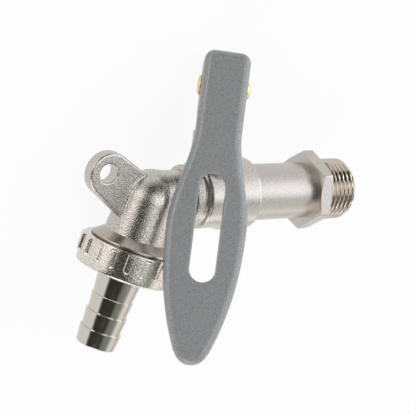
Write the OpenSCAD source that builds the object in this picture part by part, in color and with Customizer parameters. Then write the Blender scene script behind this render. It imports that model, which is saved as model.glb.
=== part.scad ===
// Lockable barrel tap: a quarter-turn ball valve on a straight inlet tail, with a
// folding slotted lever, a padlock lug and a barbed hose tail held by a union nut.
// The origin is the centre of the inlet shoulder, where the thread starts.
// +Y runs out along the inlet thread, +Z up along the stem, and the outlet is at -Y.

/* [Inlet tail] */
// Outside diameter of the inlet thread
inlet_thread_d = 20.955; // [20:0.005:22]
// Length of the inlet thread
inlet_thread_len = 11.5; // [9:0.5:16]
// Width of the hexagon across its flats
inlet_hex_af = 24; // [23:0.5:27]
// Thickness of the hexagon
inlet_hex_t = 4; // [3:0.5:8]
// Turn of the hexagon about the inlet axis
inlet_hex_turn = 6.6; // [0:0.1:30]
// Depth of the turned bevel on the hexagon's rear corners
inlet_hex_bevel = 1.7; // [0.4:0.1:2]
// Outside diameter of the inlet tube
inlet_tube_d = 19; // [18:0.5:20]
// Length of the tube between the hexagon and the ball chamber
inlet_tube_len = 25.7; // [20:0.5:50]
// Waterway diameter of the inlet tube
inlet_bore_d = 13; // [10:0.5:14]

/* [Ball chamber] */
// Outside diameter of the ball chamber
chamber_d = 24; // [23:0.5:28]
// Length of the cylindrical part of the chamber
chamber_len = 19.7; // [19:0.1:24]
// Distance from the chamber's open end to the stem axis
chamber_to_stem = 13.6; // [13:0.1:15]
// Diameter of the screwed joint between the inlet tail and the chamber
chamber_joint_d = 18; // [17:0.5:19]
// Rounding of the chamber's front rim
chamber_rim_r = 0.8; // [0.3:0.1:1.2]
// Length of the hollow fillet from the chamber to the elbow
shoulder_len = 3.8; // [3:0.2:5]

/* [Ball and seats] */
// Diameter of the ball
ball_d = 16; // [15:0.1:16.4]
// Bore through the ball and the body
ball_bore_d = 9; // [8:0.5:9.5]
// Outside diameter of the seat rings
seat_d = 16; // [15:0.1:16.4]
// Thickness of the seat rings
seat_t = 2; // [1.6:0.1:2.4]
// Gap between the ball and its seats
seat_gap = 0.08; // [0.05:0.01:0.1]

/* [Outlet elbow] */
// Outside diameter of the horizontal leg of the elbow
elbow_d = 16.8; // [15:0.2:18]
// Distance from the stem axis to the outlet axis, along the inlet axis
elbow_reach = 22.4; // [21:0.1:26]
// Forward lean of the outlet axis
outlet_tilt = 15.6; // [10:0.2:20]
// Diameter of the outlet neck at its domed top
neck_top_d = 19.4; // [18:0.2:20]
// Diameter of the outlet neck above its collar
neck_low_d = 20.6; // [19:0.2:22]
// Distance from the elbow corner to the underside of the outlet collar
neck_len = 16.2; // [15:0.2:22]
// Diameter of the outlet collar
collar_d = 27.2; // [26.8:0.1:28]
// Thickness of the collar's rim
collar_rim_t = 0.6; // [0.4:0.1:1]
// Length of the flare from the neck to the collar's rim
collar_flare = 2.4; // [1.6:0.1:4]
// Outside diameter of the outlet thread
outlet_thread_d = 26.4; // [25:0.1:26.6]
// Waterway diameter of the outlet neck
neck_bore_d = 12; // [10:0.5:13]

/* [Padlock lug] */
// Thickness of the lug
lug_t = 4.6; // [3:0.1:5.4]
// Width of the lug
lug_w = 14.4; // [12:0.2:16]
// Diameter of the padlock hole
lug_hole_d = 6.2; // [4:0.2:7]
// Distance of the padlock hole in front of the elbow corner
lug_reach = 17.4; // [16:0.1:18.4]
// Height of the padlock hole above the inlet axis
lug_rise = 8.8; // [7:0.1:10]
// Distance of the padlock hole beyond the centre of the lug's round end
lug_hole_out = 1.2; // [0:0.1:2]
// Rise of the lug's centre line above the horizontal
lug_tilt = 37; // [30:0.5:45]
// Bevel along the lug's edges
lug_bevel = 0.6; // [0.2:0.1:1]

/* [Bonnet and gland] */
// Outside diameter of the bonnet
bonnet_d = 15; // [14.6:0.2:17]
// Height of the bonnet above the inlet axis
bonnet_top = 18; // [18:0.2:20]
// Diameter of the packing chamber
packing_d = 11.6; // [11:0.1:12]
// Thickness of each packing ring
packing_t = 1.5; // [1.2:0.1:1.8]
// Thickness of the packing follower
follower_t = 1; // [0.8:0.1:1.2]
// Width of the gland nut across its flats
gland_af = 13; // [12:0.5:14]
// Thickness of the gland nut's head
gland_head_t = 3.5; // [2.5:0.1:4]

/* [Stem] */
// Diameter of the stem
stem_d = 8; // [7:0.1:8.4]
// Diameter of the stem's thrust collar
stem_collar_d = 10; // [9.4:0.1:10.4]
// Height of the lever pin above the inlet axis
pin_height = 35.4; // [34:0.2:40]
// Diameter of the stem head, front to back
stem_head_d = 10; // [9:0.1:10.4]
// Turn of the lever from its locked position over the lug
stem_turn = 57; // [56:1:90]

/* [Lever] */
// Reach of the lever below its pin
lever_reach = 88.2; // [80:0.2:100]
// Height of the lever's closed end above its pin
lever_top = 11; // [10:0.2:12]
// Width of the lever's channel
lever_neck_w = 14.6; // [14.4:0.1:16]
// Greatest width of the lever's paddle
lever_paddle_w = 24.9; // [20:0.1:28]
// Thickness of the lever's web
lever_web_t = 3.8; // [3:0.1:4.2]
// Distance from the pin to the lever's outer face
lever_face = 9.3; // [9:0.1:10]
// Depth of the channel's flanges behind the outer face
lever_flange = 12.3; // [11:0.1:12.6]
// Rounding of the lever's outer edges
lever_edge_r = 2; // [1:0.1:2.4]
// Width of the slot that passes over the lug
lever_slot_w = 8.2; // [6:0.1:10]
// Length of the slot
lever_slot_len = 34; // [26:0.5:38]
// Distance from the pin to the middle of the slot
lever_slot_mid = 45.6; // [40:0.1:50]
// Lean of the lever away from the stem as it lies on the outlet neck
lever_tilt = 21.8; // [21.8:0.1:40]

/* [Lever pin] */
// Diameter of the lever pin
pin_d = 4; // [3:0.1:4.4]
// Diameter of the pin's formed head
pin_head_d = 6.6; // [5.5:0.1:7]
// Diameter of the pin's riveted end
pin_rivet_d = 5.2; // [4.6:0.1:6]
// Thickness of the pin's heads
pin_head_t = 0.9; // [0.6:0.1:1.4]

/* [Union nut] */
// Wall of the union nut, between its thread and its outside between the ribs
nut_wall = 2.45; // [1.8:0.05:4]
// Height of the union nut
nut_h = 9.4; // [8.6:0.1:12]
// Distance from the outlet collar to the union nut
nut_gap = 0.3; // [0.2:0.1:1]
// Thickness of the nut's inner flange
nut_flange_t = 1.6; // [1.2:0.1:2]
// Rounding of the nut's lower edge
nut_round = 1.4; // [0.6:0.1:1.8]
// Number of grip ribs
nut_ribs = 18; // [12:1:24]
// Width of a grip rib
nut_rib_w = 2.4; // [1.6:0.1:3]
// Height of the ribs off the nut
nut_rib_h = 0.7; // [0.4:0.1:1.2]
// Turn of the nut about the outlet, as tightened
nut_turn = 8.6; // [0:0.1:20]

/* [Hose tail] */
// Diameter of the barbs
barb_d = 13.9; // [13:0.1:15]
// Depth of the step behind each barb
barb_step = 0.55; // [0.3:0.05:0.8]
// Distance between barbs
barb_pitch = 5.6; // [4.5:0.1:7]
// Number of barbs
barb_count = 3; // [2:1:4]
// Diameter of the hose tail where it passes through the nut
tail_neck_d = 15; // [14.8:0.1:17]
// Length of the plain neck between the nut and the first barb
tail_neck_len = 8.1; // [4:0.1:12]
// Length of the nose behind the last barb
tail_nose_len = 5.2; // [4:0.1:7]
// Waterway diameter of the hose tail
tail_bore_d = 9.5; // [8:0.5:10]
// Thickness of the hose tail's flange
tail_flange_t = 1.6; // [1.2:0.1:1.9]
// Thickness of the hose gasket
gasket_t = 1.5; // [1.2:0.1:1.8]

/* [Hidden] */
$fn = 96;

// Radial play of a turning fit, and the play of a joint that stays put
turn_fit = 0.06;
still_fit = 0.05;
// How far a cutting solid runs past the face that it cuts
over = 1;
// Small bevel that takes the sharpness off a turned edge
edge_break = 0.3;

// Places along the inlet axis
hex_front = -inlet_hex_t;
chamber_end = hex_front - inlet_tube_len;
stem_y = chamber_end - chamber_to_stem;
chamber_front = chamber_end - chamber_len;
outlet_y = stem_y - elbow_reach;

// Ball, seats and the recesses that hold them
ball_flat = sqrt(pow(ball_d / 2, 2) - pow(ball_bore_d / 2, 2));
seat_back = ball_flat;
seat_front = seat_back - seat_t;
seat_recess = seat_t * 0.75;
sweep_d = ball_bore_d + 1.4;
sweep_len = ball_d / 2 - ball_flat + 0.4;
seal_groove_w = 1.6;
seal_groove_depth = 0.9;

// Heights inside the bonnet
slot_floor = ball_bore_d / 2 + 1.1;
tang_w = 4.4;
tang_play = 0.1;
collar_base = ball_d / 2 + 0.4;
collar_top = collar_base + 1.2;
washer_t = 1;
ledge_base = collar_top + washer_t;
packing_base = bonnet_top - 2 * packing_t - follower_t - 1.6;
gland_shank_base = packing_base + 2 * packing_t + follower_t;
gland_top = bonnet_top + gland_head_t;
stem_ring_d = 0.8;
stem_ring_z = (ledge_base + packing_base) / 2;
stem_groove_w = 1.1;
head_base = gland_top + 1.5;
gland_bevel = 0.9;

// Lever channel
channel_w = lever_neck_w - 5;
head_w = channel_w - 0.6;
web_back = lever_face - lever_web_t;
end_wall = 2.4;
flange_full = 6;
flange_mid = 13;
flange_out = 27;
flange_mid_depth = lever_web_t + 2.4;
neck_end = 15;
paddle_at = 45;
corner_r = 3.2;
back_edge_r = 0.9;
tip_power = 1.85;

// Places along the outlet axis, counted down from the elbow corner
nut_top = neck_len + nut_gap;
nut_low = nut_top + nut_h;
tail_flange_low = nut_low - nut_flange_t;
gasket_low = tail_flange_low - tail_flange_t;
outlet_end = gasket_low - gasket_t;
first_barb = nut_low + tail_neck_len;
tail_end = first_barb + (barb_count - 1) * barb_pitch + tail_nose_len;
tail_flange_d = outlet_thread_d - 1;
gasket_d = outlet_thread_d - 1.6;
nut_thread_play = 0.15;
nut_thread_hole = outlet_thread_d + 2 * nut_thread_play;
nut_d = nut_thread_hole + 2 * nut_wall;
nut_edge = 0.4;
rib_setback = 0.2;
tail_hole_play = 0.3;

// Smooth step from 0 at a to 1 at b
function blend_step(a, b, s) =
    let (t = min(1, max(0, (s - a) / (b - a)))) t * t * (3 - 2 * t);

// Points of an arc in a plane
function arc_points(cx, cy, r, from, to, steps) =
    [for (i = [0:steps]) let (a = from + (to - from) * i / steps) [cx + r * cos(a), cy + r * sin(a)]];

// Lever profile, as functions of the distance s below the pin
function lever_half_width(s) =
    let (full = lever_neck_w / 2
            + (lever_paddle_w - lever_neck_w) / 2 * blend_step(neck_end, paddle_at, s))
    s < corner_r - lever_top
        ? full - corner_r + sqrt(pow(corner_r, 2) - pow(corner_r - lever_top - s, 2))
        : s > paddle_at
            ? full * sqrt(max(0, 1 - pow((s - paddle_at) / (lever_reach - paddle_at), tip_power)))
            : full;
function lever_end_drop(s) =
    let (into = max(0, lever_edge_r - lever_top - s, s - lever_reach + lever_edge_r))
    lever_edge_r - sqrt(max(0, pow(lever_edge_r, 2) - pow(min(into, lever_edge_r), 2)));
function lever_front(s) = lever_face - lever_end_drop(s);
function lever_depth(s) =
    s < flange_mid
        ? lever_flange + (flange_mid_depth - lever_flange) * blend_step(flange_full, flange_mid, s)
        : flange_mid_depth + (lever_web_t - flange_mid_depth) * blend_step(flange_mid, flange_out, s);
function lever_back(s) =
    lever_face - lever_depth(s) + (s > paddle_at ? lever_end_drop(s) : 0);

function lever_section(s) =
    let (w = max(0.5, lever_half_width(s)),
         front = lever_front(s),
         back = lever_back(s),
         rf = min(lever_edge_r - 0.02, w - 0.02, (front - back) * 0.6),
         rb = min(back_edge_r, w - 0.02, (front - back) * 0.3),
         outline = concat(arc_points(w - rf, front - rf, rf, 0, 90, 5),
                          arc_points(rf - w, front - rf, rf, 90, 180, 5),
                          arc_points(rb - w, back + rb, rb, 180, 270, 2),
                          arc_points(w - rb, back + rb, rb, 270, 360, 2)))
    [for (p = outline) [p[0], -p[1], -s]];

lever_stations = concat(
    [for (a = [0:15:90]) -lever_top + 0.01 + corner_r * (1 - cos(a))],
    [for (s = [-4:4:12]) s],
    [for (s = [14:2:44]) s],
    [for (a = [4:5:89]) paddle_at + (lever_reach - paddle_at) * sin(a)],
    [lever_reach - 0.02]);

// Solid skinned over a list of closed sections with equal numbers of points
module skin(sections) {
    m = len(sections[0]);
    n = len(sections);
    polyhedron(
        points = [for (ring = sections) for (p = ring) p],
        faces = concat(
            [[for (i = [0:m - 1]) i]],
            [for (j = [0:n - 2]) for (i = [0:m - 1])
                [j * m + i, (j + 1) * m + i, (j + 1) * m + (i + 1) % m]],
            [for (j = [0:n - 2]) for (i = [0:m - 1])
                [j * m + i, (j + 1) * m + (i + 1) % m, j * m + (i + 1) % m]],
            [[for (i = [m - 1:-1:0]) (n - 1) * m + i]]));
}

// Turns a solid that is drawn along Z so that it runs along the inlet axis
module along_inlet() {
    rotate([-90, 0, 0]) children();
}

// Places a solid in the outlet's frame, where -Z runs down the outlet
module at_outlet() {
    translate([0, outlet_y, 0]) rotate([-outlet_tilt, 0, 0]) children();
}

// Places a solid in the stem's frame, where -Y is the side that the lever lies on
module at_stem() {
    translate([0, stem_y, 0]) rotate([0, 0, stem_turn]) children();
}

// Places a solid in the lever's frame: pin along X, -Z down the lever, -Y its outer face
module at_lever() {
    at_stem() translate([0, 0, pin_height]) rotate([-lever_tilt, 0, 0]) children();
}

// Flat ring between two heights
module ring(inner_d, outer_d, low, high) {
    difference() {
        translate([0, 0, low]) cylinder(d = outer_d, h = high - low);
        translate([0, 0, low - over]) cylinder(d = inner_d, h = high - low + 2 * over);
    }
}

// Hexagon whose corners are turned down at 30 degrees, by their own depth at each face
module hexagon(af, low, high, low_bevel, high_bevel) {
    corner = af / 2 / cos(30);
    intersection() {
        translate([0, 0, low]) cylinder(r = corner, h = high - low, $fn = 6);
        rotate_extrude()
            polygon([[0, low], [corner - low_bevel / tan(30), low], [corner, low + low_bevel],
                     [corner, high - high_bevel], [corner - high_bevel / tan(30), high],
                     [0, high]]);
    }
}

// Chamber, its hollow shoulder and the horizontal leg, turned about the inlet axis
module body_barrel() {
    fillet_rise = chamber_d / 2 - chamber_rim_r - elbow_d / 2;
    along_inlet()
        rotate_extrude()
            polygon(concat(
                [[0, chamber_end], [chamber_d / 2 - 0.3, chamber_end],
                 [chamber_d / 2, chamber_end - 0.3]],
                arc_points(chamber_d / 2 - chamber_rim_r, chamber_front + chamber_rim_r,
                           chamber_rim_r, 0, -90, 4),
                [for (a = [10:10:90])
                    [elbow_d / 2 + fillet_rise * (1 - sin(a)),
                     chamber_front - shoulder_len * (1 - cos(a))]],
                [[elbow_d / 2, outlet_y], [0, outlet_y]]));
}

// Domed outlet neck with its collar and thread
module body_neck() {
    dome_r = neck_top_d / 2;
    dome_drop = dome_r - elbow_d / 2;
    rim_top = neck_len - collar_rim_t;
    lead_in = 0.5;
    at_outlet()
        rotate_extrude()
            polygon(concat(
                arc_points(0, -dome_drop, dome_r, 90, 0, 12),
                [[neck_low_d / 2, collar_flare - rim_top], [collar_d / 2, -rim_top],
                 [collar_d / 2, -neck_len], [outlet_thread_d / 2, -neck_len],
                 [outlet_thread_d / 2, lead_in - outlet_end],
                 [outlet_thread_d / 2 - lead_in, -outlet_end], [0, -outlet_end]]));
}

module body_bonnet() {
    translate([0, stem_y, 0])
        rotate_extrude()
            polygon(concat(
                [[0, 4], [bonnet_d / 2 + 1.6, 4], [bonnet_d / 2 + 1.6, chamber_d / 2 - 2]],
                arc_points(bonnet_d / 2 + 2, chamber_d / 2 + 2.4, 2, -100, -180, 5),
                [[bonnet_d / 2, bonnet_top - 0.4], [bonnet_d / 2 - 0.4, bonnet_top],
                 [0, bonnet_top]]));
}

// Lug plate in the plane of the elbow, with a full-round end and bevelled edges
module body_lug() {
    root = lug_reach - 3.5;
    side = [[lug_w / 2 - lug_bevel, -lug_t / 2], [lug_w / 2, lug_bevel - lug_t / 2],
            [lug_w / 2, lug_t / 2 - lug_bevel], [lug_w / 2 - lug_bevel, lug_t / 2]];
    translate([0, outlet_y - lug_reach, lug_rise])
        rotate([-lug_tilt, 0, 0])
            translate([0, lug_hole_out, 0])
                rotate([90, 0, -90]) {
                    rotate_extrude() polygon(concat([[0, -lug_t / 2]], side, [[0, lug_t / 2]]));
                    rotate([90, 0, -90])
                        linear_extrude(height = root)
                            polygon(concat(side, [for (i = [3:-1:0]) [-side[i][0], side[i][1]]]));
                }
}

module valve_body() {
    color("silver")
    difference() {
        union() {
            body_barrel();
            body_neck();
            body_bonnet();
            body_lug();
        }
        // Screwed joint, ball cavity, seat recess and waterway
        along_inlet() {
            translate([0, 0, stem_y - seat_front])
                cylinder(d = chamber_joint_d + 2 * still_fit, h = chamber_to_stem + seat_front + over);
            translate([0, 0, stem_y - seat_back])
                cylinder(d = seat_d + 2 * still_fit, h = seat_back);
            translate([0, 0, stem_y - seat_back - sweep_len]) cylinder(d = sweep_d, h = seat_back);
            translate([0, 0, outlet_y]) cylinder(d = ball_bore_d, h = elbow_reach);
        }
        at_outlet() {
            sphere(d = ball_bore_d);
            translate([0, 0, -outlet_end - over])
                cylinder(d = neck_bore_d, h = outlet_end + over - neck_bore_d * 0.25);
            translate([0, 0, -neck_bore_d * 0.25]) sphere(d = neck_bore_d);
        }
        // Stem hole, thrust washer seat and packing chamber
        translate([0, stem_y, 0]) {
            cylinder(d = stem_collar_d + 0.6, h = ledge_base);
            cylinder(d = stem_d + 2 * turn_fit, h = bonnet_top + over);
            translate([0, 0, packing_base])
                cylinder(d = packing_d + 2 * still_fit, h = bonnet_top - packing_base + over);
        }
        // Padlock hole
        translate([-lug_t, outlet_y - lug_reach, lug_rise])
            rotate([0, 90, 0]) cylinder(d = lug_hole_d, h = 2 * lug_t);
    }
}

module inlet_tailpiece() {
    shank_end = stem_y + seat_front + 0.8;
    seat_floor = stem_y + seat_back;
    color("silver")
    difference() {
        union() {
            along_inlet() {
                rotate_extrude()
                    polygon([[0, 0], [inlet_thread_d / 2, 0],
                             [inlet_thread_d / 2, inlet_thread_len - 1],
                             [inlet_thread_d / 2 - 1, inlet_thread_len], [0, inlet_thread_len]]);
                translate([0, 0, chamber_end])
                    cylinder(d = inlet_tube_d, h = inlet_tube_len + inlet_hex_t / 2);
                translate([0, 0, shank_end])
                    cylinder(d = chamber_joint_d, h = chamber_end - shank_end + over);
            }
            rotate([0, -inlet_hex_turn, 0])
                along_inlet()
                    rotate([0, 0, 30])
                        hexagon(inlet_hex_af, hex_front, 0, inlet_hex_bevel, edge_break);
        }
        along_inlet() {
            translate([0, 0, chamber_end])
                cylinder(d = inlet_bore_d, h = inlet_thread_len - chamber_end + over);
            translate([0, 0, shank_end - over])
                cylinder(d = sweep_d, h = chamber_end - shank_end + 2 * over);
            translate([0, 0, shank_end - over])
                cylinder(d = seat_d + 2 * still_fit, h = seat_floor - shank_end + over);
            // Groove for the body seal ring
            ring(chamber_joint_d - 2 * seal_groove_depth, chamber_joint_d + over,
                 chamber_end - over - seal_groove_w, chamber_end - over);
        }
    }
}

module body_seal_ring() {
    section = seal_groove_depth - 0.06;
    color("black")
    along_inlet()
        translate([0, 0, chamber_end - over - seal_groove_w / 2])
            rotate_extrude()
                translate([chamber_joint_d / 2 - seal_groove_depth / 2, 0])
                    circle(d = section, $fn = 24);
}

module ball() {
    color("lightgray")
    at_stem()
    difference() {
        sphere(d = ball_d);
        rotate([0, 90, 0]) cylinder(d = ball_bore_d, h = ball_d + 2 * over, center = true);
        translate([-tang_w / 2 - tang_play, -ball_d / 2, slot_floor])
            cube([tang_w + 2 * tang_play, ball_d, ball_d / 2]);
    }
}

// Seat ring in the ball's frame, on the +Z side, dished to the ball
module seat_shape() {
    difference() {
        ring(ball_bore_d + 1, seat_d, seat_front, seat_back);
        sphere(d = ball_d + 2 * seat_gap);
    }
}

module inlet_seat() {
    color("white") translate([0, stem_y, 0]) along_inlet() seat_shape();
}

module outlet_seat() {
    color("white") translate([0, stem_y, 0]) rotate([90, 0, 0]) seat_shape();
}

module stem() {
    head_low = head_base + (stem_head_d - stem_d) / 2;
    color("silver")
    at_stem()
    difference() {
        union() {
            // Tang that turns the ball
            intersection() {
                translate([-tang_w / 2, -stem_d / 2, slot_floor + 0.2])
                    cube([tang_w, stem_d, collar_base - slot_floor]);
                cylinder(d = stem_d, h = ledge_base);
            }
            rotate_extrude()
                polygon([[0, collar_base], [stem_collar_d / 2, collar_base],
                         [stem_collar_d / 2, collar_top], [stem_d / 2, collar_top],
                         [stem_d / 2, stem_ring_z - stem_groove_w / 2],
                         [stem_d / 2 - stem_ring_d, stem_ring_z - stem_groove_w / 2],
                         [stem_d / 2 - stem_ring_d, stem_ring_z + stem_groove_w / 2],
                         [stem_d / 2, stem_ring_z + stem_groove_w / 2],
                         [stem_d / 2, head_base], [0, head_base]]);
            // Flat-sided head between the lever's flanges
            intersection() {
                union() {
                    rotate_extrude()
                        polygon([[0, head_base - 1], [stem_d / 2, head_base - 1],
                                 [stem_d / 2, head_base], [stem_head_d / 2, head_low],
                                 [stem_head_d / 2, pin_height], [0, pin_height]]);
                    translate([-head_w / 2, 0, pin_height])
                        rotate([0, 90, 0]) cylinder(d = stem_head_d, h = head_w);
                }
                translate([-head_w / 2, -stem_head_d, head_base - 2 * over])
                    cube([head_w, 2 * stem_head_d, pin_height + stem_head_d]);
            }
        }
        translate([-stem_head_d, 0, pin_height])
            rotate([0, 90, 0]) cylinder(d = pin_d + 2 * turn_fit, h = 2 * stem_head_d);
    }
}

module stem_thrust_washer() {
    color("white")
    translate([0, stem_y, 0])
        ring(stem_d + 2 * turn_fit, stem_collar_d + 0.4, collar_top + 0.02, ledge_base);
}

module stem_seal_ring() {
    color("black")
    at_stem()
        translate([0, 0, stem_ring_z])
            rotate_extrude()
                translate([stem_d / 2 + turn_fit / 2 - stem_ring_d / 2, 0])
                    circle(d = stem_ring_d - 0.04, $fn = 24);
}

module packing_ring(level) {
    low = packing_base + level * packing_t;
    translate([0, stem_y, 0]) ring(stem_d + 2 * turn_fit, packing_d, low, low + packing_t);
}

module lower_packing_ring() {
    color("white") packing_ring(0);
}

module upper_packing_ring() {
    color("white") packing_ring(1);
}

module packing_follower() {
    color("gold")
    translate([0, stem_y, 0])
        ring(stem_d + 2 * turn_fit, packing_d, gland_shank_base - follower_t, gland_shank_base);
}

module gland_nut() {
    color("gold")
    translate([0, stem_y, 0])
        difference() {
            union() {
                translate([0, 0, gland_shank_base])
                    cylinder(d = packing_d, h = bonnet_top - gland_shank_base + over);
                hexagon(gland_af, bonnet_top, gland_top, edge_break, gland_bevel);
            }
            cylinder(d = stem_d + 2 * turn_fit, h = gland_top + over);
        }
}

module lever() {
    color("gray")
    at_lever()
    difference() {
        skin([for (s = lever_stations) lever_section(s)]);
        // Channel that straddles the stem head
        translate([-channel_w / 2, -web_back, -flange_out - 4])
            cube([channel_w, lever_flange + over, flange_out + 4 + lever_top - end_wall]);
        // Slot that passes over the lug
        rotate([90, 0, 0])
            for (side = [-1, 1])
                translate([0, -lever_slot_mid + side * (lever_slot_len - lever_slot_w) / 2, 0])
                    cylinder(d = lever_slot_w, h = 2 * lever_face);
        translate([-lever_slot_w / 2, -2 * lever_face,
                   -lever_slot_mid - (lever_slot_len - lever_slot_w) / 2])
            cube([lever_slot_w, 2 * lever_face, lever_slot_len - lever_slot_w]);
        // Pin hole through both flanges
        rotate([0, 90, 0])
            cylinder(d = pin_d + 2 * still_fit, h = lever_neck_w + 2 * over, center = true);
    }
}

module lever_pin() {
    outside = lever_neck_w / 2 + still_fit;
    color("goldenrod")
    at_lever()
    rotate([0, 90, 0])
        rotate_extrude()
            polygon([[0, -outside - pin_head_t], [pin_head_d / 2 - 0.3, -outside - pin_head_t],
                     [pin_head_d / 2, -outside - pin_head_t + 0.3], [pin_head_d / 2, -outside],
                     [pin_d / 2, -outside], [pin_d / 2, outside],
                     [pin_rivet_d / 2, outside], [pin_rivet_d / 2, outside + 0.2],
                     [pin_d / 3, outside + pin_head_t], [0, outside + pin_head_t]]);
}

module hose_gasket() {
    color("black")
    at_outlet() ring(neck_bore_d, gasket_d, -gasket_low, -outlet_end - 0.02);
}

module hose_tail() {
    barb_r = barb_d / 2;
    root_r = barb_r - barb_step;
    neck_end_r = barb_r - barb_step / 2;
    color("lightgray")
    at_outlet()
    difference() {
        rotate_extrude()
            polygon(concat(
                [[0, -gasket_low], [tail_flange_d / 2, -gasket_low],
                 [tail_flange_d / 2, -tail_flange_low], [tail_neck_d / 2, -tail_flange_low],
                 [tail_neck_d / 2, -nut_low], [neck_end_r, -first_barb]],
                [for (i = [0:barb_count - 1])
                    for (p = [[barb_r, 0.1], [root_r, i < barb_count - 1 ? barb_pitch : tail_nose_len]])
                        [p[0], -first_barb - i * barb_pitch - p[1]]],
                [[0, -tail_end]]));
        translate([0, 0, -tail_end - over]) cylinder(d = tail_bore_d, h = tail_end);
    }
}

module union_nut() {
    rib_top = nut_top + nut_edge + rib_setback;
    rib_low = nut_top + nut_h * 0.57;
    rib_root = 1;
    color("silver")
    at_outlet()
    difference() {
        union() {
            rotate_extrude()
                polygon(concat(
                    [[0, -nut_top], [nut_d / 2 - nut_edge, -nut_top], [nut_d / 2, -nut_top - nut_edge]],
                    arc_points(nut_d / 2 - nut_round, nut_round - nut_low, nut_round, 0, -90, 6),
                    [[0, -nut_low]]));
            // Grip ribs with rounded lower ends
            for (i = [0:nut_ribs - 1])
                rotate([0, 0, nut_turn + i * 360 / nut_ribs])
                    translate([nut_d / 2 - rib_root, 0, -rib_low]) {
                        translate([0, -nut_rib_w / 2, 0])
                            cube([rib_root + nut_rib_h, nut_rib_w, rib_low - rib_top]);
                        rotate([0, 90, 0])
                            cylinder(d = nut_rib_w, h = rib_root + nut_rib_h, $fn = 32);
                    }
        }
        translate([0, 0, -tail_flange_low]) cylinder(d = nut_thread_hole, h = nut_low);
        translate([0, 0, -nut_low - over])
            cylinder(d = tail_neck_d + 2 * tail_hole_play, h = nut_h);
    }
}

valve_body();
inlet_tailpiece();
body_seal_ring();
ball();
inlet_seat();
outlet_seat();
stem();
stem_thrust_washer();
stem_seal_ring();
lower_packing_ring();
upper_packing_ring();
packing_follower();
gland_nut();
lever();
lever_pin();
hose_gasket();
hose_tail();
union_nut();
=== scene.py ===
import math

import bpy
import numpy as np
from mathutils import Matrix, Vector


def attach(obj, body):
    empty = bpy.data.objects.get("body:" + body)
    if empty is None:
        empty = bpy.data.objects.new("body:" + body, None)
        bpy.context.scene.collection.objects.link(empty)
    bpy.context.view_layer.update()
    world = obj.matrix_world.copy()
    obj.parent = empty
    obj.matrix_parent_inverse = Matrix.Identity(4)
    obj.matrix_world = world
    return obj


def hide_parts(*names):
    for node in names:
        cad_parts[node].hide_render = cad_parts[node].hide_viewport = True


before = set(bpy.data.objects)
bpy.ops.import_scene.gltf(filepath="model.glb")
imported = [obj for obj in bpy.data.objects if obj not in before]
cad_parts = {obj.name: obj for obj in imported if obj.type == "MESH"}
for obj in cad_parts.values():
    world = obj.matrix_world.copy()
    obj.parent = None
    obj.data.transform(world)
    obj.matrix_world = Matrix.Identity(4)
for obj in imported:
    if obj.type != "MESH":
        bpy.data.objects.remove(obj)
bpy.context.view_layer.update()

# Camera. It stands in front of the tap, on the lever's side and a little above the pipe,
# and leans a few degrees, as the photograph was taken.
MM = 0.001
view_azimuth, view_elevation, view_lean = (math.radians(v) for v in (53.28, 15.79, -8.26))
pipe_middle_y, aim_shift_right, aim_shift_up = -38.144 * MM, -4.14 * MM, -4.75 * MM
view_distance = 385.7 * MM
sensor_width = 36.0
focal_px, frame_px = 1169.99, 416

towards_camera = Vector((math.sin(view_azimuth) * math.cos(view_elevation),
                         -math.cos(view_azimuth) * math.cos(view_elevation),
                         math.sin(view_elevation)))
level_right = Vector((math.cos(view_azimuth), math.sin(view_azimuth), 0))
level_up = towards_camera.cross(level_right)
image_right = level_right * math.cos(-view_lean) + level_up * math.sin(-view_lean)
image_up = level_up * math.cos(-view_lean) - level_right * math.sin(-view_lean)
aim = Vector((0, pipe_middle_y, 0)) + image_right * aim_shift_right + image_up * aim_shift_up

camera_data = bpy.data.cameras.new("photo_camera")
camera_data.sensor_width = sensor_width
camera_data.lens = focal_px / frame_px * sensor_width
camera_data.clip_start, camera_data.clip_end = 0.01, 20
camera = bpy.data.objects.new("photo_camera", camera_data)
bpy.context.scene.collection.objects.link(camera)
camera.matrix_world = Matrix.Translation(aim + towards_camera * view_distance) @ Matrix(
    (image_right, image_up, towards_camera)).transposed().to_4x4()
bpy.context.scene.camera = camera


# White table. The tap lies on its side on it, on the union nut and the inlet hexagon,
# with the lever uppermost. The camera and the metal see it almost plain white, with a
# trace of the tap's shadow. Seen from underneath it isn't drawn.
def node_maker(tree):
    """Returns a function that adds a node to tree with its values, and links its inputs."""
    def add(kind, inputs=None, **settings):
        node = tree.nodes.new(kind)
        for key, value in settings.items():
            setattr(node, key, value)
        for key, value in (inputs or {}).items():
            if isinstance(value, bpy.types.NodeSocket):
                tree.links.new(value, node.inputs[key])
            else:
                node.inputs[key].default_value = value
        return node
    return add


def blank_material(name):
    """A new node material with nothing in it, and the function that adds nodes to it."""
    material = bpy.data.materials.new(name)
    material.use_nodes = True
    material.node_tree.nodes.clear()
    return material, node_maker(material.node_tree)


table_normal = Vector((1, 0.05, -0.13)).normalized()
nut_side = Vector((-16.6, -72.7, -23.7)) * MM
table_half, table_paint = 1.5, (0.86, 0.86, 0.86, 1)
white_in_view, white_in_metal = 0.92, 0.85
across = table_normal.orthogonal().normalized()
along = table_normal.cross(across)
table_mesh = bpy.data.meshes.new("table")
table_mesh.from_pydata(
    [nut_side + across * (table_half * i) + along * (table_half * j)
     for i, j in ((-1, -1), (1, -1), (1, 1), (-1, 1))], [], [(0, 1, 2, 3)])
table = bpy.data.objects.new("table", table_mesh)
bpy.context.scene.collection.objects.link(table)

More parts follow.
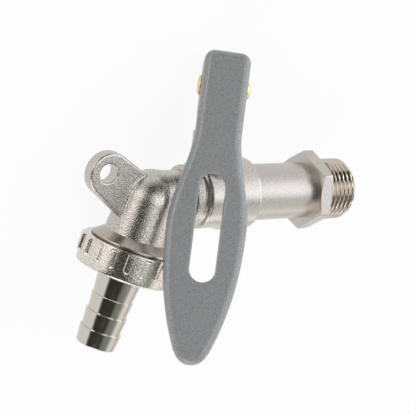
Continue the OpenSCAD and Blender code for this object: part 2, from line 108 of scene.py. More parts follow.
table_white, add = blank_material("table_white")
seen_by = add("ShaderNodeLightPath")
seen_white = add("ShaderNodeEmission", {"Color": (1, 1, 1, 1), "Strength": 1.0})
lit_white = add("ShaderNodeBsdfDiffuse", {"Color": table_paint})
to_camera = add("ShaderNodeMath", {0: seen_by.outputs["Is Camera Ray"], 1: white_in_view},
                operation="MULTIPLY")
how_white = add("ShaderNodeMath", {0: seen_by.outputs["Is Glossy Ray"], 1: white_in_metal,
                                   2: to_camera.outputs[0]}, operation="MULTIPLY_ADD")
front_side = add("ShaderNodeMixShader", {0: how_white.outputs[0], 1: lit_white.outputs[0],
                                         2: seen_white.outputs[0]})
underside = add("ShaderNodeBsdfTransparent")
which_side = add("ShaderNodeNewGeometry")
table_sides = add("ShaderNodeMixShader", {0: which_side.outputs["Backfacing"],
                                          1: front_side.outputs[0], 2: underside.outputs[0]})
add("ShaderNodeOutputMaterial", {"Surface": table_sides.outputs[0]})
table_mesh.materials.append(table_white)

# Light. A dark studio, which the metal shows as near-black bands, with soft round white
# panels on both sides, behind, above and below. Past the table the camera sees white.
studio_dark = (0.045, 0.047, 0.036, 1)
panel_edge, panel_core = math.cos(math.radians(34)), math.cos(math.radians(6))
panels = (  # azimuth and elevation in degrees, light at the middle
    (163, 38, (1.05, 1.06, 1.13)), (150, 11, (1.80, 1.81, 1.90)), (98, 16, (1.75, 1.80, 1.88)),
    (138, -14, (0.28, 0.30, 0.32)), (105, -25, (0.24, 0.25, 0.25)), (158, -31, (0.85, 0.82, 0.78)),
    (145, -72, (1.30, 1.34, 1.38)), (40, -49, (2.30, 2.26, 2.16)), (0, 30, (3.0, 3.0, 3.0)),
    (-20, 3, (1.0, 0.96, 1.0)))

world = bpy.data.worlds.new("photo_studio")
bpy.context.scene.world = world
world.use_nodes = True
world.node_tree.nodes.clear()
add = node_maker(world.node_tree)
direction = add("ShaderNodeTexCoord")
studio_light = add("ShaderNodeCombineXYZ", dict(zip("XYZ", studio_dark))).outputs[0]
for azimuth, elevation, light in panels:
    azimuth, elevation = math.radians(azimuth), math.radians(elevation)
    axis = (math.sin(azimuth) * math.cos(elevation), -math.cos(azimuth) * math.cos(elevation),
            math.sin(elevation))
    facing = add("ShaderNodeVectorMath", {0: direction.outputs["Generated"], 1: axis},
                 operation="DOT_PRODUCT")
    inside = add("ShaderNodeMapRange", {"Value": facing.outputs["Value"], "From Min": panel_edge,
                                        "From Max": panel_core}, interpolation_type="SMOOTHSTEP")
    studio_light = add("ShaderNodeVectorMath", {0: inside.outputs[0], 1: light, 2: studio_light},
                       operation="MULTIPLY_ADD").outputs[0]
studio = add("ShaderNodeBackground", {"Color": studio_light})
white_beyond = add("ShaderNodeBackground", {"Color": (1, 1, 1, 1)})
seen_by = add("ShaderNodeLightPath")
surround = add("ShaderNodeMixShader", {0: seen_by.outputs["Is Camera Ray"],
                                       1: studio.outputs[0], 2: white_beyond.outputs[0]})
add("ShaderNodeOutputWorld", {"Surface": surround.outputs[0]})

bpy.context.scene.view_settings.view_transform = "Standard"

# Valve body. One brass casting with the ball chamber, elbow, domed neck, bonnet and
# padlock lug, bored out for the ball, shot blasted and satin nickel plated.
chamber_r, chamber_back, chamber_front = 12.0, -29.7, -49.4
oval_half_x, oval_half_z, oval_from, oval_to = 11.8, 10.9, -38.5, -43.8
ring_half_x, ring_half_z, ring_front, cone_steep = 10.25, 9.95, -53.9, 1.28
leg_r, corner_y = 8.4, -65.7
neck_top_r, neck_foot_r, neck_top_s, neck_foot_s = 9.7, 10.3, 1.3, 13.2
outlet_lean = math.radians(15.6)
bonnet_r, bonnet_top, stem_y = 7.5, 18.0, -43.3
lug_end_y, lug_end_z, lug_r, lug_half_t, lug_rim = -82.14, 8.08, 7.2, 2.3, 0.8
lug_rise, lug_flare = math.radians(37), 0.06
hole_y, hole_z, hole_r = -83.1, 8.8, 3.1
ring_half_length, cone_length, leg_hidden, neck_hidden = 5.0, 1.6, 8.0, 2.0
cone_edge, back_edge, bonnet_edge, hole_edge = 0.3, 0.7, 0.4, 0.12
ring_fillet, leg_fillet, neck_fillet, bonnet_fillet, lug_fillet = 0.35, 1.3, 1.6, 2.0, 0.55
lug_length = 13.9
ball_room_r, ball_room_y, seat_r, seat_y = 9.1, -47.9, 8.1, -49.9
throat_r, throat_y, waterway_r = 5.2, -51.7, 4.5
collar_room_r, collar_room_half, stem_hole_r, stem_hole_z = 5.3, 5.3, 4.1, 8.0
gland_room_r, gland_room_z, neck_bore_r, neck_bore_s = 5.9, 12.4, 6.0, 3.0


def round_join(a, b, radius):
    """Distance to two solids joined with a hollow fillet of that radius."""
    return (np.maximum(radius, np.minimum(a, b))
            - np.hypot(np.maximum(radius - a, 0), np.maximum(radius - b, 0)))


def round_cut(a, b, radius):
    """Distance to what two solids share, with its edge rounded to that radius."""
    return (np.minimum(-radius, np.maximum(a, b))
            + np.hypot(np.maximum(radius + a, 0), np.maximum(radius + b, 0)))


def step_up(a, b, value):
    """Smooth step from 0 at a to 1 at b."""
    t = np.clip((value - a) / (b - a), 0, 1)
    return t * t * (3 - 2 * t)


def oval(x, z, half_x, half_z):
    """Distance to an upright oval pipe along Y."""
    round_pipe = np.maximum(np.hypot(x, z), 0.01)
    return round_pipe - round_pipe / np.sqrt((x / half_x) ** 2 + (z / half_z) ** 2)


def casting(x, y, z):
    """Distance in mm to the surface of the valve body's casting."""
    pipe = np.hypot(x, z)
    down = -(y - corner_y) * math.sin(outlet_lean) - z * math.cos(outlet_lean)
    ahead = (y - corner_y) * math.cos(outlet_lean) - z * math.sin(outlet_lean)
    round_outlet = np.hypot(x, ahead)
    flatten = step_up(oval_from, oval_to, y)
    round_chamber = oval(x, z, chamber_r + (oval_half_x - chamber_r) * flatten,
                         chamber_r + (oval_half_z - chamber_r) * flatten)
    cone = (round_chamber + cone_steep * (chamber_front - y)) / math.hypot(1, cone_steep)
    chamber = round_cut(round_cut(round_chamber, cone, cone_edge), y - chamber_back,
                        back_edge)
    chamber = np.maximum(chamber, chamber_front - cone_length - y)
    ring = np.maximum(oval(x, z, ring_half_x, ring_half_z),
                      np.abs(y - ring_front - ring_half_length) - ring_half_length)
    leg = np.maximum(pipe - leg_r, np.maximum(corner_y - y, y - chamber_back + leg_hidden))
    taper = np.clip((down - neck_top_s) / (neck_foot_s - neck_top_s), 0, 1.2)
    neck = np.maximum(round_outlet - neck_top_r - (neck_foot_r - neck_top_r) * taper,
                      np.maximum(neck_top_s - down, down - neck_foot_s - neck_hidden))
    dome = np.sqrt(round_outlet ** 2 + (down - neck_top_s) ** 2) - neck_top_r
    round_stem = np.hypot(x, y - stem_y)
    bonnet = round_cut(round_stem - bonnet_r,
                       np.abs(z - bonnet_top / 2) - bonnet_top / 2, bonnet_edge)
    out = -(y - lug_end_y) * math.cos(lug_rise) + (z - lug_end_z) * math.sin(lug_rise)
    up = (y - lug_end_y) * math.sin(lug_rise) + (z - lug_end_z) * math.cos(lug_rise)
    outline = np.where(out > 0, np.hypot(out, up), np.abs(up) + lug_flare * out) - lug_r
    lug = np.maximum(round_cut(outline, np.abs(x) - lug_half_t, lug_rim), -out - lug_length)
    solid = round_join(round_join(round_join(chamber, ring, ring_fillet), leg, leg_fillet),
                       np.minimum(neck, dome), neck_fillet)
    solid = round_join(round_join(solid, bonnet, bonnet_fillet), lug, lug_fillet)
    solid = round_cut(solid, hole_r - np.hypot(y - hole_y, z - hole_z), hole_edge)
    bored = np.minimum.reduce([
        np.maximum(pipe - ball_room_r, ball_room_y - y), np.maximum(pipe - seat_r, seat_y - y),
        np.maximum(pipe - throat_r, throat_y - y), np.maximum(pipe - waterway_r, corner_y - y),
        np.maximum(round_stem - collar_room_r, np.abs(z - collar_room_half) - collar_room_half),
        np.maximum(round_stem - stem_hole_r, stem_hole_z - z),
        np.maximum(round_stem - gland_room_r, gland_room_z - z),
        np.maximum(round_outlet - neck_bore_r, neck_bore_s - down),
        np.sqrt(round_outlet ** 2 + (down - neck_bore_s) ** 2) - neck_bore_r])
    return np.maximum(solid, -bored)


def skin_of(name, distance, low, high, cell):
    """A mesh in metres of the surface where distance(x, y, z) is zero. All else is in mm.

    Each cell that the surface crosses gets one point, which is then drawn onto the surface,
    and each grid line that it crosses gets one face over the four cells round it.
    """
    ticks = [np.arange(a, b + cell, cell) for a, b in zip(low, high)]
    grid = np.stack(np.meshgrid(*ticks, indexing="ij"), -1)
    level = distance(grid[..., 0], grid[..., 1], grid[..., 2])
    solid = level < 0
    cells = tuple(n - 1 for n in level.shape)
    total, count = np.zeros(cells + (3,)), np.zeros(cells)
    for axis in range(3):
        near, far = [slice(None)] * 3, [slice(None)] * 3
        near[axis], far[axis] = slice(0, -1), slice(1, None)
        near, far = tuple(near), tuple(far)
        change = solid[near] != solid[far]
        cross = grid[near].copy()
        cross[..., axis] += cell * level[near] / np.where(change, level[near] - level[far], 1)
        cross *= change[..., None]
        a, b = (n for n in range(3) if n != axis)
        for i in (0, 1):
            for j in (0, 1):
                part = [slice(None)] * 3
                part[a], part[b] = slice(i, cells[a] + i), slice(j, cells[b] + j)
                total += cross[tuple(part)]
                count += change[tuple(part)]
    used = count > 0
    number = np.full(cells, -1)
    number[used] = np.arange(used.sum())
    points = total[used] / count[used][:, None]
    nudge, rounds, least_slope = 0.02, 4, 0.3
    for _ in range(rounds):
        off = np.clip(distance(*points.T), -cell / 2, cell / 2)
        slope = np.stack([distance(*(points + step).T) - distance(*(points - step).T)
                          for step in np.eye(3) * nudge], -1) / (2 * nudge)
        points -= slope * (off / np.maximum((slope ** 2).sum(-1), least_slope))[:, None]
    quads = []
    for axis in range(3):
        a, b = (axis + 1) % 3, (axis + 2) % 3
        near = [slice(1, -1)] * 3
        far = list(near)
        near[axis], far[axis] = slice(0, -1), slice(1, None)
        change = solid[tuple(near)] != solid[tuple(far)]
        corners = []
        for i, j in ((0, 0), (1, 0), (1, 1), (0, 1)):
            part = [slice(None)] * 3
            part[a], part[b] = slice(i, cells[a] - 1 + i), slice(j, cells[b] - 1 + j)
            corners.append(number[tuple(part)][change])
        quad = np.stack(corners, -1)
        inwards = ~solid[tuple(near)][change]
        quad[inwards] = quad[inwards][:, ::-1]
        quads.append(quad)
    mesh = bpy.data.meshes.new(name)
    mesh.from_pydata((points * MM).tolist(), [], np.concatenate(quads).tolist())
    mesh.shade_smooth()
    return mesh


def put_together(mesh, material, body, stands_for=(), place=None):
    """Moves a mesh to its place and adds it to the tap as a piece that rides on a body."""
    if place is not None:
        mesh.transform(place)
    piece = bpy.data.objects.new(mesh.name, mesh)
    bpy.context.scene.collection.objects.link(piece)
    mesh.materials.append(material)
    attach(piece, body)
    if stands_for:
        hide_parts(*stands_for)
    return piece


def effect_group(name, inputs, outputs):
    """A shader node group with named inputs and outputs, its node adder and its input node."""
    tree = bpy.data.node_groups.new(name, "ShaderNodeTree")
    for label, kind in inputs:
        tree.interface.new_socket(label, in_out="INPUT", socket_type=kind)
    for label, kind in outputs:
        tree.interface.new_socket(label, in_out="OUTPUT", socket_type=kind)
    add = node_maker(tree)
    return tree, add, add("NodeGroupInput")


def blended(add, factor, low, high):
    """Colour that goes from low to high with factor, which is a socket."""
    mix = add("ShaderNodeMix", {0: factor}, data_type="RGBA")
    sockets = [s for s in mix.inputs if s.type == "RGBA"]
    sockets[0].default_value, sockets[1].default_value = (*low, 1), (*high, 1)
    return next(s for s in mix.outputs if s.type == "RGBA")


# Grain that shot blasting leaves: pits and bumps of nearly half a millimetre
blast_tree, add, into = effect_group(
    "blasted_grain", [("Place", "NodeSocketVector"), ("Grains per metre", "NodeSocketFloat"),
                      ("Depth", "NodeSocketFloat")],
    [("Speckle", "NodeSocketFloat"), ("Cloud", "NodeSocketFloat"), ("Normal", "NodeSocketVector")])
grain = add("ShaderNodeTexNoise", {"Vector": into.outputs["Place"],
                                   "Scale": into.outputs["Grains per metre"],
                                   "Detail": 2.0, "Roughness": 0.6})
cloud = add("ShaderNodeTexNoise", {"Vector": into.outputs["Place"], "Scale": 260.0, "Detail": 3.0})
raised = add("ShaderNodeBump", {"Height": grain.outputs["Fac"],
                                "Strength": into.outputs["Depth"], "Distance": 0.25 * MM})
add("NodeGroupOutput", {"Speckle": grain.outputs["Fac"], "Cloud": cloud.outputs["Fac"],
                        "Normal": raised.outputs[0]})


def blasted_nickel(name, grains, depth, rough_low, rough_high, dark, light, calm_places=()):
    """Satin nickel over a blasted casting. Each calm place is a list of (axis, edge, core)
    in mm, between which the surface grows smoother, and how much smoother it gets."""
    material, add = blank_material(name)
    place = add("ShaderNodeTexCoord")
    at = add("ShaderNodeSeparateXYZ", {0: place.outputs["Object"]})
    calm = 0.0
    for limits, smoother in calm_places:
        here = smoother
        for axis, edge, core in limits:
            value = at.outputs[axis[-1]]
            if axis[0] == "|":
                value = add("ShaderNodeMath", {0: value}, operation="ABSOLUTE").outputs[0]
            inside = add("ShaderNodeMapRange", {"Value": value, "From Min": edge * MM,
                                                "From Max": core * MM})
            here = add("ShaderNodeMath", {0: here, 1: inside.outputs[0]},
                       operation="MULTIPLY").outputs[0]
        calm = add("ShaderNodeMath", {0: calm, 1: here}, operation="MAXIMUM").outputs[0]
    lively = add("ShaderNodeMath", {0: 1.0, 1: calm}, operation="SUBTRACT").outputs[0]
    strength = add("ShaderNodeMath", {0: lively, 1: depth}, operation="MULTIPLY").outputs[0]
    blast = add("ShaderNodeGroup", {"Place": place.outputs["Object"], "Grains per metre": grains,
                                    "Depth": strength}, node_tree=blast_tree)
    rough = add("ShaderNodeMapRange", {"Value": blast.outputs["Speckle"], "From Min": 0.3,
                                       "From Max": 0.7, "To Min": rough_low, "To Max": rough_high})
    fleck = add("ShaderNodeMapRange", {"Value": blast.outputs["Speckle"], "From Min": 0.38,
                                       "From Max": 0.62, "To Min": -0.5, "To Max": 0.5})
    contrast = add("ShaderNodeMath", {0: fleck.outputs[0], 1: lively, 2: 0.5},
                   operation="MULTIPLY_ADD")
    metal = add("ShaderNodeBsdfPrincipled", {
        "Base Color": blended(add, contrast.outputs[0], dark, light), "Metallic": 1.0,
        "Roughness": rough.outputs[0], "Normal": blast.outputs["Normal"]})
    add("ShaderNodeOutputMaterial", {"Surface": metal.outputs[0]})
    return material


# The ball chamber and the lug's polished rim are smoother than the rest
chamber_calm = ([("Y", -53.5, -51.5)], 0.65)
lug_rim_calm = ([("|X", 2.1, 1.8), ("Y", -74.0, -76.0), ("Z", -1.0, 0.0)], 0.85)
cast_nickel = blasted_nickel("cast_satin_nickel", 2700.0, 0.42, 0.16, 0.30,
                             (0.37, 0.345, 0.315), (0.74, 0.69, 0.63),
                             [chamber_calm, lug_rim_calm])
put_together(skin_of("valve_casting", casting, (-13, -92.5, -17), (13, -28.5, 20), 0.3),
             cast_nickel, "valve_body", ["valve_body"])

# Outlet collar. The turned foot of the casting: a bright flared collar that stands just
# clear of the union nut, and the three-quarter-inch thread that the nut runs on.
outlet_place = (Matrix.Translation((0, corner_y * MM, 0))
                @ Matrix.Rotation(-outlet_lean, 4, "X"))
collar_rim_r, collar_rim_s, collar_foot_s = 13.6, 15.6, 16.2
outlet_thread_r, outlet_thread_end, outlet_thread_share = 13.2, 21.2, 0.75
undercut_r, undercut_s, thread_floor_r, thread_lead = 12.6, 0.3, 12.0, 0.7
pipe_pitch, pipe_thread_depth = 1.814, 1.162


def eased(profile, steps=3):
    """Closed profile of (radius, height, ease) with each corner eased into an arc."""
    points = np.array([p[:2] for p in profile], float)
    out = []
    for i, here in enumerate(points):
        ease = profile[i][2] if len(profile[i]) > 2 else 0
        before, after = points[i - 1] - here, points[(i + 1) % len(points)] - here
        reach = min(ease, 0.45 * np.linalg.norm(before), 0.45 * np.linalg.norm(after))
        if reach <= 0:
            out.append(here)
            continue
        start = here + before / np.linalg.norm(before) * reach
        end = here + after / np.linalg.norm(after) * reach
        for t in np.linspace(0, 1, steps + 1):
            out.append((1 - t) ** 2 * start + 2 * t * (1 - t) * here + t ** 2 * end)
    return np.array(out)


def ring_skin(name, rings, capped=False):
    """A closed mesh over rings of points in mm. It closes on itself, or with caps."""
    rings = np.asarray(rings, float)
    count, around = rings.shape[:2]
    index = np.arange(count * around).reshape(count, around)
    rows = index if capped else np.concatenate([index, index[:1]])
    a, b = rows[:-1], rows[1:]
    faces = np.stack([a, np.roll(a, -1, 1), np.roll(b, -1, 1), b], -1).reshape(-1, 4)
    flat = rings.reshape(-1, 3)
    corners = flat[faces]
    volume = (np.cross(corners[:, 0], corners[:, 1]) * corners[:, 2]).sum() + (
        np.cross(corners[:, 0], corners[:, 2]) * corners[:, 3]).sum()
    faces = faces.tolist()
    if capped:
        faces += [index[0][::-1].tolist(), index[-1].tolist()]
    if volume < 0:
        faces = [face[::-1] for face in faces]
    mesh = bpy.data.meshes.new(name)
    mesh.from_pydata((flat * MM).tolist(), [], faces)
    mesh.shade_smooth()
    mesh.set_sharp_from_angle(angle=math.radians(38))
    return mesh


def turned_rings(profile, around, radius=None):
    """Rings about local Z. radius(r, angle, height) may change each point's radius."""
    angle = np.linspace(0, 2 * math.pi, around, endpoint=False)
    r, height = (np.repeat(column[:, None], around, 1) for column in np.asarray(profile).T)
    if radius:
        r = radius(r, angle[None, :] + 0 * r, height)
    return np.stack([r * np.cos(angle), r * np.sin(angle), height], -1)


def thread_form(height, angle, pitch):
    """0 at the root and 1 at the crest of a right-hand thread, with small flats."""
    wave = np.abs(2 * ((height / pitch - angle / (2 * math.pi)) % 1) - 1)
    return np.clip((wave - 0.14) / 0.72, 0, 1)


def face_evenly(piece):
    """Shades flat and round faces apart, as turned metal shows them."""
    normals = piece.modifiers.new("even_faces", "WEIGHTED_NORMAL")
    normals.keep_sharp = True
    return piece


# Fine lines that a turning tool leaves, across one axis
turning_tree, add, into = effect_group(
    "turning_lines", [("Along", "NodeSocketFloat"), ("Place", "NodeSocketVector"),
                      ("Depth", "NodeSocketFloat")],
    [("Lines", "NodeSocketFloat"), ("Smear", "NodeSocketFloat"), ("Normal", "NodeSocketVector")])
stretched = add("ShaderNodeCombineXYZ", {"X": into.outputs["Along"]})
lines = add("ShaderNodeTexNoise", {"Vector": stretched.outputs[0], "Scale": 5200.0, "Detail": 2.0})
smear = add("ShaderNodeTexNoise", {"Vector": into.outputs["Place"], "Scale": 420.0, "Detail": 3.0})
cut = add("ShaderNodeBump", {"Height": lines.outputs["Fac"], "Strength": into.outputs["Depth"],
                             "Distance": 0.1 * MM})
add("NodeGroupOutput", {"Lines": lines.outputs["Fac"], "Smear": smear.outputs["Fac"],
                        "Normal": cut.outputs[0]})


def turned_nickel(name, axis, depth, rough_low, rough_high, dark, light, lean=0.0):
    """Bright nickel over turned brass. axis is the turning axis, once lean is taken out."""
    material, add = blank_material(name)
    place = add("ShaderNodeTexCoord")
    upright = add("ShaderNodeMapping", {"Vector": place.outputs["Object"],
                                        "Rotation": (lean, 0.0, 0.0)})
    along = add("ShaderNodeSeparateXYZ", {0: upright.outputs[0]})
    turning = add("ShaderNodeGroup", {"Along": along.outputs[axis], "Depth": depth,
                                      "Place": place.outputs["Object"]}, node_tree=turning_tree)
    rough = add("ShaderNodeMapRange", {"Value": turning.outputs["Smear"], "From Min": 0.3,
                                       "From Max": 0.7, "To Min": rough_low, "To Max": rough_high})
    metal = add("ShaderNodeBsdfPrincipled", {
        "Base Color": blended(add, turning.outputs["Lines"], dark, light), "Metallic": 1.0,
        "Roughness": rough.outputs[0], "Normal": turning.outputs["Normal"]})
    add("ShaderNodeOutputMaterial", {"Surface": metal.outputs[0]})
    return material


def outlet_thread(r, angle, height):
    """Cuts the outlet's thread into the part of the foot below the collar."""
    cut_here = (height < -collar_foot_s - undercut_s) & (r > thread_floor_r)
    deep = (1 - thread_form(height, angle, pipe_pitch)) * pipe_thread_depth * outlet_thread_share
    return np.where(cut_here, r - deep, r)


foot_profile = [(p[0], p[1]) for p in eased([
    (neck_bore_r, -outlet_thread_end, 0.3),
    (outlet_thread_r - thread_lead, -outlet_thread_end, 0.1)])]
foot_profile += [(outlet_thread_r, -s) for s in np.arange(outlet_thread_end - 0.5,
                                                          collar_foot_s + 0.35, -0.15)]
foot_profile += [tuple(p) for p in eased([
    (undercut_r, -collar_foot_s - undercut_s), (undercut_r, -collar_foot_s, 0.1),
    (collar_rim_r, -collar_foot_s, 0.12), (collar_rim_r, -collar_rim_s, 0.15),
    (neck_foot_r, -neck_foot_s + 0.05, 0.25), (neck_foot_r - 1, -neck_foot_s + 0.6),
    (neck_bore_r, -neck_foot_s + 0.6)])]
collar_nickel = turned_nickel("collar_nickel", "Z", 0.08, 0.24, 0.32,
                              (0.46, 0.415, 0.375), (0.52, 0.47, 0.425), outlet_lean)
face_evenly(put_together(
    ring_skin("outlet_collar", turned_rings(foot_profile, 180, outlet_thread)),
    collar_nickel, "valve_body", place=outlet_place))

# Inlet tailpiece. Turned from hexagon bar: plain tube, hexagon bevelled towards the tube,
# and the bright half-inch pipe thread. It is screwed into the chamber and nickel plated.
inlet_thread_r, inlet_thread_from, inlet_thread_end, inlet_bore_r = 10.6, 0.7, 12.5, 6.5
inlet_lead, end_chamfer, behind_thread_r = 1.0, 1.1, 9.4
tube_r, hex_back, hex_half, hex_flat_angle = 9.5, -4.75, 12.0, math.radians(6.6)
rear_bevel, front_bevel, bevel_slope = 1.15, 0.35, 1 / math.tan(math.radians(30))
blank_r, spigot_r, spigot_end, lip_r, lip_y, seat_hole_r = 14.0, 9.0, -37.9, 8.1, -36.8, 5.2
shoulder_r, shoulder_front, shoulder_back, tube_front = 9.3, -29.6, -29.25, -29.15


def hexagon_radius(angle, half, flat_angle):
    """Radius of a hexagon at an angle. One flat's middle is at flat_angle."""
    turn = (angle - flat_angle + math.pi / 6) % (math.pi / 3) - math.pi / 6
    return half / np.cos(turn)


def inlet_outside(r, angle, height):
    """Shapes the hexagon and cuts the inlet thread into the turned blank."""
    corner = hex_half / math.cos(math.pi / 6)
    shaped = np.minimum.reduce([
        hexagon_radius(angle, hex_half, hex_flat_angle),
        corner - (rear_bevel - (height - hex_back)) * bevel_slope,
        corner - (front_bevel + height) * bevel_slope, 0 * r + corner])
    in_hexagon = (height >= hex_back) & (height <= 0) & (r > tube_r + 0.5)
    envelope = np.minimum(inlet_thread_r,
                          inlet_thread_r + (inlet_thread_end - inlet_lead - height))
    deep = (1 - thread_form(height, angle, pipe_pitch)) * pipe_thread_depth
    in_thread = (height > inlet_thread_from) & (r > inlet_thread_r - 0.01)
    r = np.where(in_hexagon, shaped, r)
    return np.where(in_thread, np.minimum(inlet_thread_r - deep, envelope), r)


tail_profile = [tuple(p) for p in eased([
    (lip_r, lip_y), (lip_r, spigot_end), (spigot_r, spigot_end), (spigot_r, shoulder_front),
    (shoulder_r, shoulder_front, 0.05), (shoulder_r, shoulder_back, 0.05),
    (tube_r, tube_front, 0.1)], 3)]
tail_profile = tail_profile[:-1] + [(tube_r, y) for y in np.linspace(-29, hex_back, 12)]
tail_profile += [(blank_r, y) for y in np.concatenate([
    np.linspace(hex_back, hex_back + rear_bevel, 14), np.linspace(-2.6, -front_bevel, 6),
    [-0.2, 0]])]
tail_profile += [(behind_thread_r + 0.3, 0), (behind_thread_r, 0.15), (behind_thread_r, 0.65)]
tail_profile += [(inlet_thread_r, y) for y in np.arange(0.75, inlet_thread_end, 0.13)]
tail_profile += [(inlet_thread_r - end_chamfer, inlet_thread_end)]
tail_profile += [tuple(p) for p in eased([(inlet_bore_r, inlet_thread_end, 0.5),
                                          (inlet_bore_r, chamber_back),
                                          (seat_hole_r, chamber_back), (seat_hole_r, lip_y)])]
rings = turned_rings(tail_profile, 240, inlet_outside)
rings = np.stack([rings[..., 0], rings[..., 2], rings[..., 1]], -1)
tube_nickel = blasted_nickel("tube_satin_nickel", 1700.0, 0.10, 0.28, 0.38,
                             (0.49, 0.455, 0.42), (0.60, 0.56, 0.515))
tailpiece = face_evenly(put_together(ring_skin("inlet_tail", rings), tube_nickel,
                                     "valve_body", ["inlet_tailpiece"]))
thread_nickel = turned_nickel("thread_nickel", "Y", 0.03, 0.08, 0.14,
                              (0.50, 0.45, 0.385), (0.62, 0.56, 0.48))
tailpiece.data.materials.append(thread_nickel)
bright_from = 0.3 * MM
for face in tailpiece.data.polygons:
    if face.center.y > bright_from:
        face.material_index = 1

# Seals, seats, ball and stem. White rings, black rubber and a brass follower that only show
# when the tap is apart, the polished ball that is seen through the inlet, and the plated
# stem, whose flat-sided head stands out of the gland nut. All are assembled in the casting.


def plain_finish(name, low, high, roughness, metallic, grains):
    """Finish for an inner piece: a fine cloud in its colour and a little tooth."""
    material, add = blank_material(name)
    place = add("ShaderNodeTexCoord")
    blast = add("ShaderNodeGroup", {"Place": place.outputs["Object"], "Grains per metre": grains,
                                    "Depth": 0.12}, node_tree=blast_tree)
    shade = add("ShaderNodeBsdfPrincipled", {
        "Base Color": blended(add, blast.outputs["Cloud"], low, high), "Metallic": metallic,
        "Roughness": roughness, "Normal": blast.outputs["Normal"]})
    add("ShaderNodeOutputMaterial", {"Surface": shade.outputs[0]})
    return material


seal_white = plain_finish("seal_white", (0.80, 0.79, 0.76), (0.88, 0.87, 0.84), 0.5, 0.0, 3000.0)
seal_black = plain_finish("seal_black", (0.015, 0.015, 0.015), (0.03, 0.03, 0.03), 0.6, 0.0,
                          3000.0)
ball_chrome = plain_finish("ball_chrome", (0.78, 0.79, 0.81), (0.84, 0.84, 0.86), 0.08, 1.0, 800.0)
bare_brass = plain_finish("bare_brass", (0.80, 0.58, 0.27), (0.90, 0.69, 0.36), 0.28, 1.0, 2600.0)
plated_brass = turned_nickel("stem_nickel", "Z", 0.1, 0.20, 0.28,
                             (0.46, 0.42, 0.375), (0.56, 0.51, 0.46))
for material, names in ((seal_white, ("inlet_seat", "outlet_seat", "stem_thrust_washer",
                                      "lower_packing_ring", "upper_packing_ring")),
                        (seal_black, ("body_seal_ring", "stem_seal_ring", "hose_gasket")),
                        (ball_chrome, ("ball",)), (bare_brass, ("packing_follower",)),
                        (plated_brass, ("stem",))):
    for name in names:
        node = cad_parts[name]
        node.data.materials.clear()
        node.data.materials.append(material)
        node.data.shade_smooth()
        node.data.set_sharp_from_angle(angle=math.radians(30))

# Gland nut. Turned from hexagon bar, with bevelled corners. It presses on the packing
# round the stem, and is screwed into the bonnet behind the lever.
gland_half, gland_top, gland_hole_r, gland_shank_r = 6.5, 21.5, 4.06, 5.8
gland_low_bevel, gland_top_bevel, gland_low, gland_gap, gland_mouth = 0.3, 0.9, 16.5, 0.02, 0.35


def gland_outside(r, angle, height):
    """Shapes the gland nut's hexagon."""
    corner = gland_half / math.cos(math.pi / 6)
    shaped = np.minimum.reduce([
        hexagon_radius(angle, gland_half, math.pi / 6),
        corner - (gland_top_bevel - (gland_top - height)) * bevel_slope,
        corner - (gland_low_bevel - (height - bonnet_top)) * bevel_slope, 0 * r + corner])
    return np.where(r > gland_shank_r + 0.5, shaped, r)


gland_profile = [(gland_hole_r, gland_low), (gland_shank_r, gland_low),
                 (gland_shank_r, bonnet_top + gland_gap)]
gland_profile += [(blank_r, z) for z in np.concatenate([
    np.linspace(bonnet_top + gland_gap, bonnet_top + gland_low_bevel, 3), [19.2, 20.2],
    np.linspace(gland_top - gland_top_bevel, gland_top, 9)])]
gland_profile += [(gland_hole_r + gland_mouth, gland_top), (gland_hole_r, gland_top - gland_mouth)]
gland_place = Matrix.Translation((0, stem_y * MM, 0))
face_evenly(put_together(
    ring_skin("gland", turned_rings(gland_profile, 180, gland_outside)),
    plated_brass, "valve_body", ["gland_nut"], gland_place))

# Lever. Pressed from steel: a channel over the stem head that opens into a slotted paddle,
# with rounded edges all round, and a satin grey paint with a fine orange peel.
lever_turn, lever_lean, pin_height = math.radians(57), math.radians(21.8), 35.4
lever_slack = math.radians(0.47)
lever_top, lever_reach, lever_face = 10.3, 88.1, 9.3
neck_half, paddle_half, neck_end, paddle_at = 7.3, 12.45, 15.0, 45.0
web_t, flange_depth, flange_full, flange_mid, flange_out = 3.8, 12.3, 6.0, 13.0, 27.0
flange_mid_depth, corner_round = 6.2, 3.2
tip_narrowing, tip_power, tip_r, tip_slope = 0.70, 2.3, 5.4, 0.34
channel_half, end_wall = 4.8, 2.4
slot_half, slot_straight, slot_mid, slot_aside = 4.1, 12.9, 45.6, 0.25
pin_hole_r, channel_past = 2.05, 4.0
front_round, back_round, channel_round, slot_round = 2.4, 0.9, 0.5, 0.55
shank_scale, flank_easing = 0.98, 0.06


